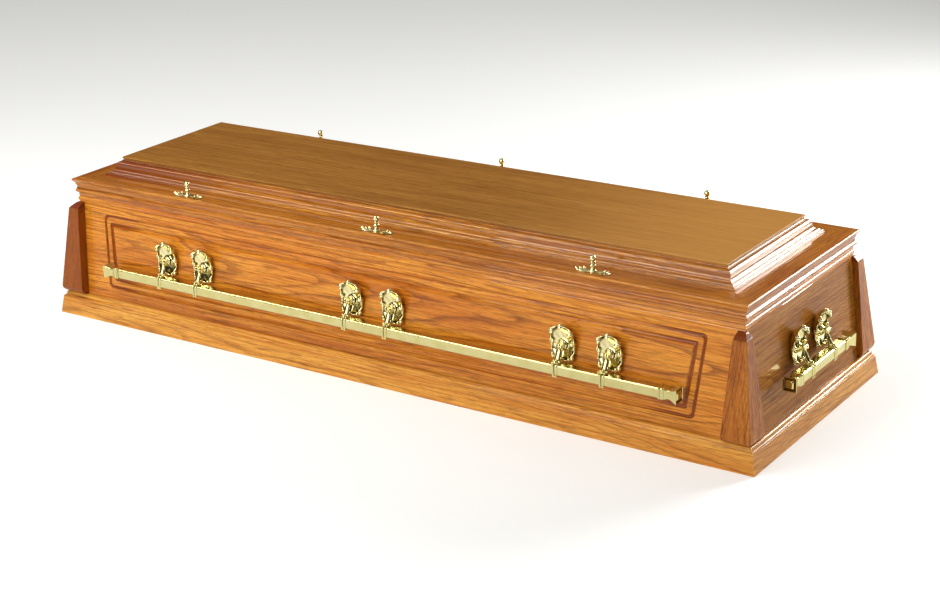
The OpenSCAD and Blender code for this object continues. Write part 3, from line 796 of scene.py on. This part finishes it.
def backplate_shape():
    """A cast palmette: the fluted shield with leaf tips rolled over its fan, scrolls at its
    lower corners, and the stepped boss that carries the two ears and the hinge pin."""
    shape = Shape()
    hinge = -HINGE_DROP
    shell(shape, hinge)
    for k in range(-2, 3):
        t = math.radians(90 - 360 / LOBES * k)
        far = shield_reach(t) - 4.5
        out = shield_lift(t, 1) + 1.0
        place = Matrix.Translation((far * math.cos(t), -out, hinge + far * math.sin(t)))
        place = place @ Matrix.Rotation(math.pi / 2 - t, 4, "Y") @ Matrix.Rotation(-0.65, 4, "X")
        egg(shape, place, 6.4, 4.4, 8.4 - 0.5 * abs(k))
    for way in (-1, 1):
        egg(shape, Matrix.Translation((way * 29.0, -8.6, hinge - 3)), 3.0, 3.6, 10.0)
        for x, z, tip, wide, long in ((25.5, -30, 0.6, 5.0, 7.0), (17.0, -34, 0.3, 4.4, 6.0)):
            low = Matrix.Translation((way * x, -9.8, hinge + z))
            egg(shape, low @ Matrix.Rotation(way * tip, 4, "Y"), wide, 4.4, long)
    egg(shape, Matrix.Translation((0, -8.0, hinge - 33.5)), 4.2, 3.4, 5.6)
    neck = HINGE_OUT - 7.5
    boss = [(15.2, 3.5), (15.4, 6.6), (14.6, 8.4), (13.2, 8.9), (12.4, 7.6), (12.0, 5.6)]
    boss += [(11.2, 5.2), (10.6, 6.6), (10.4, 10.4), (11.6, 11.4), (12.2, 12.9), (11.6, 14.2)]
    boss += [(9.8, 15.0), (9.0, 15.9), (8.6, neck - 1.4), (7.6, neck - 0.3), (5.5, neck)]
    boss += [(0.05, neck)]
    shape.lathe([(0.05, 0.5)] + boss, facing(0, 0, hinge), 40)
    ear_x = EYE_W / 2 + EAR_GAP
    for way in (-1, 1):
        turned = Matrix.Translation((way * ear_x, -HINGE_OUT, hinge))
        turned = turned @ Matrix.Rotation(way * math.pi / 2, 4, "Y")
        ear = [(0.05, 0), (5.4, 0), (6, 0.6), (6, 2.4), (5.2, 3.3), (3.4, 3.5)]
        ear += [(3.2, 3.7), (2.6, 4.3), (1.2, 4.7), (0.05, 4.8)]
        shape.lathe(ear, turned, 24)
        x0, x1 = way * ear_x, way * (ear_x + 3.3)
        rings = []
        for out, half in ((neck - 2, 5.4), (neck + 2, 4.9), (HINGE_OUT, 5.0)):
            rings.append([(x0, -out, hinge - half), (x1, -out, hinge - half * 0.9),
                          (x1, -out, hinge + half * 0.9), (x0, -out, hinge + half)])
        shape.loft(rings)
    pin = Matrix.Translation((-ear_x - 1, -HINGE_OUT, hinge))
    pin = pin @ Matrix.Rotation(math.pi / 2, 4, "Y")
    shape.lathe([(PIN_R, 0), (PIN_R, 2 * ear_x + 2)], pin, 20)
    return shape


def square_ring(x, w, cut, y=0.0, z=0.0, steps=4):
    """A square section with rounded corners, standing across X."""
    h = w / 2
    points = []
    for cy, cz, a0 in ((1, 1, 0), (-1, 1, 90), (-1, -1, 180), (1, -1, 270)):
        points += arc(cy * (h - cut), cz * (h - cut), cut, cut, a0, a0 + 90, steps)
    return [(x, y + p, z + q) for p, q in points]


def octagon(w, cut, r):
    """A square section with its corners cut off and every edge just broken."""
    h, c = w / 2, w / 2 - cut
    corners = [(h, -c), (h, c), (c, h), (-c, h), (-h, c), (-h, -c), (-c, -h), (c, -h)]
    return soften(corners, r, 2)


def arm(shape, x):
    """Eye, broad shank, rosette and the leafy collar that grips the bar, in the hinge's
    frame: the bar hangs below the pin and a little out from it."""
    eye = [(PIN_R + 0.08, -EYE_W / 2 + 0.2), (4.6, -EYE_W / 2 + 0.2), (5.8, -3.2)]
    eye += [(6.3, -1.4), (6.4, 0), (6.3, 1.4), (5.8, 3.2), (4.6, EYE_W / 2 - 0.2)]
    eye += [(PIN_R + 0.08, EYE_W / 2 - 0.2)]
    place = Matrix.Translation((x, 0, 0)) @ Matrix.Rotation(math.pi / 2, 4, "Y")
    circle = [2 * math.pi * k / 24 for k in range(24)]
    rings = [[(r * math.cos(t), r * math.sin(t), h) for t in circle] for r, h in eye]
    shape.loft(rings, place, True)
    run = BAR_DROP - BAR_W / 2 - 3
    rings = []
    for i in range(19):
        f = i / 18
        y = -BAR_OUT * (f * f * (3 - 2 * f)) * 0.95
        grown = min(1, max(0, (f - 0.07) / 0.2))
        wide = 4.2 + 2.5 * grown * grown * (3 - 2 * grown) + 0.6 * f
        deep = 3.5 + 0.6 * grown + 0.4 * f
        z = -4.4 - (run - 4.4) * f
        rings.append([(x + wide * math.cos(t), y + deep * math.sin(t), z) for t in circle])
    shape.loft(rings)
    y, z = -BAR_OUT, -run
    shape.ball((x, y - 1.5, z + 5.4), 4.4, (1, 1, 0.9), 16)
    for turn, far, r in ((0, 7.6, 3.9), (180, 7.6, 3.9), (-90, 7.2, 4.0), (90, 7.0, 3.6),
                         (-45, 7.4, 3.0), (-135, 7.4, 3.0), (45, 7.2, 2.8), (135, 7.2, 2.8)):
        t = math.radians(turn)
        low = 2.2 if r > 3.2 else 0.4
        petal = (x + far * math.cos(t), y + far * math.sin(t), z + low)
        shape.ball(petal, r + 0.5, (1, 1, 0.85), 14)
    collar(shape, x, y, -BAR_DROP)


def collar(shape, x, y, z):
    """A leaf-shaped band round the bar, with a groove down its middle and a rounded tip
    below."""
    rings = []
    half = BAR_W / 2 - 0.3
    for k in range(60):
        t = 2 * math.pi * k / 60
        c, s = math.cos(t), math.sin(t)
        reach = (abs(c) ** 7 + abs(s) ** 7) ** (-1 / 7)
        wide = 1.02 + 0.16 * s
        notch = 1.4 + 0.8 * max(0, -c)
        section = [(-7.6, -0.4), (-7.9, 1.0), (-7.0, 2.3), (-5.2, 3.0), (-3.2, 3.0)]
        section += [(-1.3, notch), (0, 0.6), (1.3, notch)]
        section += [(3.2, 3.0), (5.2, 3.0), (7.0, 2.3), (7.9, 1.0), (7.6, -0.4)]
        rings.append([(x + u * wide, y + c * (reach * half + v), z + s * (reach * half + v))
                      for u, v in section])
    shape.loft(rings, None, True)
    for way in (-1, 1):
        shape.ball((x + way * 3.4, y - BAR_W / 2 + 2.0, z - BAR_W / 2 - 2.0), 4.0, (1, 1, 1), 12)
    shape.ball((x, y, z - BAR_W / 2 - 1.8), 3.6, (1, 2.2, 0.9), 14)


def end_cap(shape, start, way, y, z):
    """A square trumpet: a stepped collar, a bulge, a waist and a mouth that opens wide
    round a sunk square with a raised centre."""
    wide, corner = CAP_W, 1.5
    # each station is (place along, width, radius of the corners)
    stations = [(-6.5, 26.0, 4), (-6.4, 28.6, 4), (-5.6, 30.0, 4.6), (-4.4, 30.6, 4.8)]
    stations += [(-3.2, 30.0, 4.6), (-2.4, 28.4, 4), (-1.6, 27.6, 4), (-0.6, 28.4, 4)]
    stations += [(0.8, 29.4, 4.4), (2.6, 29.8, 4.6), (4.6, 29.2, 4.4), (6.2, 27.8, 4)]
    stations += [(7.4, 26.6, 3.6), (8.6, 26.2, 3.4), (9.2, 27.0, 3.4), (10.0, 27.2, 3.4)]
    stations += [(10.8, 26.4, 3.2), (11.4, 25.2, 3.0)]
    for i in range(1, 13):
        f = i / 12
        flare = 24.0 - 2.6 * math.sin(math.pi * min(1, 1.5 * f)) + (wide - 24.2) * f ** 2.4
        stations.append((11.6 + (CAP_L - 13.4) * f, flare, 3.0 - 1.4 * f))
    mouth = [(-0.9, 0, corner), (-0.2, 0.7, corner), (0, 2.0, corner), (-0.2, 4.2, corner)]
    mouth += [(-1.4, 5.4, corner), (-3.4, 6.6, corner), (-3.8, 8.2, 2), (-3.6, 12, 3)]
    mouth += [(-1.4, 14.5, 4), (0.6, 17.5, 5), (1.4, 22, 4)]
    stations += [(CAP_L + on, wide - less, round_by) for on, less, round_by in mouth]
    shape.loft([square_ring(start + way * x, w, cut, y, z) for x, w, cut in stations])


def bar_handle(side, body, material):
    """A bar with its caps and arms, hung on its line of hinge pins."""
    joint = [j for j in frame["joints"] if j["child"] == body][0]
    hinge = Vector(joint["pos_m"]) / MM
    node = side + "_bar_handle"
    long_way = 0 if side in ("front", "back") else 1
    half = box_mm(node)[1][long_way] - CAP_L - 2
    count = 6 if long_way == 0 else 2
    names = [f"{side}_plate_{i + 1}" for i in range(count)]
    places = [sum(c[long_way] for c in box_mm(name)) / 2 for name in names]
    shape = Shape()
    for x in places:
        arm(shape, x)
    section = octagon(BAR_W, 2.2, 0.7)
    ends = (-half - 3, half + 3)
    shape.loft([[(x, p - BAR_OUT, q - BAR_DROP) for p, q in section] for x in ends])
    end_cap(shape, half, 1, -BAR_OUT, -BAR_DROP)
    end_cap(shape, -half, -1, -BAR_OUT, -BAR_DROP)
    place = Matrix.Translation(hinge) @ Matrix.Rotation(TURNS[side], 4, "Z")
    add_piece("brass_" + node, shape.mesh(node, place, 32), material, [node], body)


def on_side(side, along):
    """The frame of a leaning face: X along it, Z up it and -Y out of it."""
    reach = hy(PLATE_Z) if side in ("front", "back") else hx(PLATE_Z)
    lean = Matrix.Rotation(-LEAN, 4, "X")
    spot = Matrix.Translation((along, -reach, PLATE_Z))
    return Matrix.Rotation(TURNS[side], 4, "Z") @ spot @ lean


def thumb_screw_shape():
    """A turned finial with a ball on top, and its plain shank."""
    shape = Shape()
    height = SCREW_TOP - RIM_Z - SEAT_H
    tip = SCREW_LOW - RIM_Z - SEAT_H
    profile = [(0.05, tip), (2.6, tip), (3, tip + 1), (3, 0), (8.4, 0), (9, 0.7), (9, 1.7)]
    profile += [(8.2, 2.5), (7, 3.1), (6, 4.4), (5.3, 6.5), (5.0, 9), (5.2, 10.6), (6.2, 11.8)]
    profile += [(7.2, 12.8), (7.5, 13.9), (7.0, 15.0), (5.8, 15.8), (5.1, 16.8), (4.9, 18.6)]
    profile += [(5.2, 20.2), (6.0, 21.2), (6.2, 22.0), (5.6, 22.8), (4.8, 23.3)]
    ball = arc(0, height - 7.4, 7.9, 7.4, -52, 90, 14)
    profile += [(max(x, 0.05), y) for x, y in ball]
    shape.lathe(profile, None, 28)
    return shape


def screw_plate_shape():
    """A long leafy base plate with a round seat and a hole for the shank."""
    shape = Shape()
    flat = Matrix.Rotation(-math.pi / 2, 4, "X")
    part = Shape()
    for way in (-1, 1):
        turn = way * 90
        leaf(part, (way * 4, 0), turn, 42, 12, 1.6, 0.02, 0.5, 1.5)
        leaf(part, (way * 8, 0), turn - 24, 24, 9, 1.8, 0.05, 0.9, 1.6)
        leaf(part, (way * 8, 0), turn + 24, 24, 9, 1.8, 0.05, 0.9, 1.6)
        leaf(part, (way * 20, 0), turn - 18, 20, 7, 1.8, 0.03, 0.8, 1.6)
        leaf(part, (way * 20, 0), turn + 18, 20, 7, 1.8, 0.03, 0.8, 1.6)
    shape.verts = [flat @ v for v in part.verts]
    shape.faces = part.faces
    seat = [(SCREW_HOLE_R, 0), (8.8, 0), (9.6, 0.6), (9.8, 1.6), (9, 2.4), (8.2, 2.6)]
    seat += [(8.2, 3.2), (7.8, SEAT_H), (SCREW_HOLE_R, SEAT_H)]
    circle = [2 * math.pi * k / 32 for k in range(32)]
    rings = [[(r * math.cos(t), r * math.sin(t), h) for t in circle] for r, h in seat]
    shape.loft(rings, None, True)
    return shape


def add_casting(node, mesh):
    add_piece("brass_" + node, mesh, BRASS_CAST, [node], flats=False)


def build_brass():
    """The backplates and bars of each side, and the thumb screws on their base plates."""
    plate = backplate_shape()
    screw, base = thumb_screw_shape(), screw_plate_shape()
    for side in SIDES:
        long_way = 0 if side in ("front", "back") else 1
        sign = -1 if side in ("back", "left") else 1
        for i in range(6 if long_way == 0 else 2):
            node = f"{side}_plate_{i + 1}"
            along = sign * sum(c[long_way] for c in box_mm(node)) / 2
            add_casting(node, plate.mesh(node, on_side(side, along), 40))
        bar_handle(side, side + "_handle", BRASS_BAR_X if long_way == 0 else BRASS_BAR_Y)
    for side in ("front", "back"):
        for i, (x, y) in enumerate(screw_centres(side), 1):
            seat = Matrix.Translation((x, y, RIM_Z))
            node = f"{side}_screw_plate_{i}"
            add_casting(node, base.mesh(node, seat, 40))
            node = f"{side}_thumb_screw_{i}"
            head = Matrix.Translation((x, y, RIM_Z + SEAT_H))
            add_casting(node, screw.mesh(node, head, 40))


# ---- stage ---------------------------------------------------------------------------


def build_floor():
    """A plain pale floor, lit a little from itself so that it stays near white."""
    mesh = bpy.data.meshes.new("floor")
    reach = 30  # metres
    corners = [(-reach, -reach, 0), (reach, -reach, 0), (reach, reach, 0), (-reach, reach, 0)]
    mesh.from_pydata(corners, [], [(0, 1, 2, 3)])
    floor = bpy.data.objects.new("floor", mesh)
    bpy.context.scene.collection.objects.link(floor)
    material = bpy.data.materials.new("pale_floor")
    n = Nodes(material)
    where = n.add("TexCoord").outputs["Object"]
    tone = n.span(n.noise(where, (0.8, 0.8, 0.8), 2.0), 0.3, 0.7)
    n.set(Base_Color=n.mix(tone, (0.84, 0.88, 0.93, 1), (0.86, 0.90, 0.95, 1)), Roughness=0.9)
    n.set(Specular_IOR_Level=0.1, Emission_Color=(1, 1, 1, 1), Emission_Strength=0.25)
    mesh.materials.append(material)


KEY_POWER = 120  # watts
STRIP_POWER = 74
BOX_POWER = 150
LIGHT_COLOUR = (1, 0.95, 0.87)


def area_light(name, place, aim, along, size, power):
    """A softbox at place that faces aim, with its long side running along a direction."""
    data = bpy.data.lights.new(name, "AREA")
    data.shape = "RECTANGLE"
    data.size, data.size_y = size
    data.energy = power
    data.color = LIGHT_COLOUR
    back = (Vector(place) - Vector(aim)).normalized()
    side = Vector(along)
    side = (side - side.dot(back) * back).normalized()
    turn = Matrix((side, back.cross(side), back)).transposed()
    light = bpy.data.objects.new(name, data)
    light.matrix_world = Matrix.Translation(place) @ turn.to_4x4()
    bpy.context.scene.collection.objects.link(light)


def build_lights():
    """A low front key, a strip above the front edge and a long box behind the right end, in
    a dim room that is paler overhead, so that mostly the mouldings' edges catch the boxes."""
    world = bpy.data.worlds.new("studio")
    bpy.context.scene.world = world
    world.use_nodes = True
    tree = world.node_tree
    where = tree.nodes.new("ShaderNodeTexCoord")
    split = tree.nodes.new("ShaderNodeSeparateXYZ")
    ramp = tree.nodes.new("ShaderNodeValToRGB")
    tree.links.new(where.outputs["Generated"], split.inputs[0])
    tree.links.new(split.outputs[2], ramp.inputs[0])
    ramp.color_ramp.elements[0].color = (0.035, 0.03, 0.025, 1)
    ramp.color_ramp.elements[1].color = (0.46, 0.44, 0.39, 1)
    ramp.color_ramp.elements[0].position = 0.25
    back = tree.nodes["Background"]
    tree.links.new(ramp.outputs[0], back.inputs[0])
    back.inputs[1].default_value = 1.0
    middle = (0, 0, 0.25)
    area_light("key", (-0.6, -4.6, 1.9), middle, (1, 0, 0), (3.6, 1.8), KEY_POWER)
    area_light("strip", (-1.9, -1.4, 3.05), (-1.9, 0, 0.3), (1, 0, 0), (3.8, 0.42), STRIP_POWER)
    area_light("right_box", (2.1, 3.1, 1.65), (1, 0, 0.38), (0.77, 0, -0.64), (2.5, 0.62),
               BOX_POWER)


def build_camera():
    """Eye point, axes and lens that match the photograph's view of the plinth and lid."""
    data = bpy.data.cameras.new("camera")
    data.sensor_width = 36
    data.lens = 73.87
    camera = bpy.data.objects.new("camera", data)
    right = Vector((0.83172, 0.55450, -0.02789))
    ahead = Vector((-0.52869, 0.77566, -0.34473))
    up = right.cross(ahead)
    turn = Matrix((right, up, -ahead)).transposed()
    camera.matrix_world = Matrix.Translation((2.6936, -3.8392, 1.8322)) @ turn.to_4x4()
    bpy.context.scene.collection.objects.link(camera)
    bpy.context.scene.camera = camera
    bpy.context.scene.view_settings.view_transform = "Standard"


build_wood()
build_brass()
build_floor()
build_lights()
build_camera()
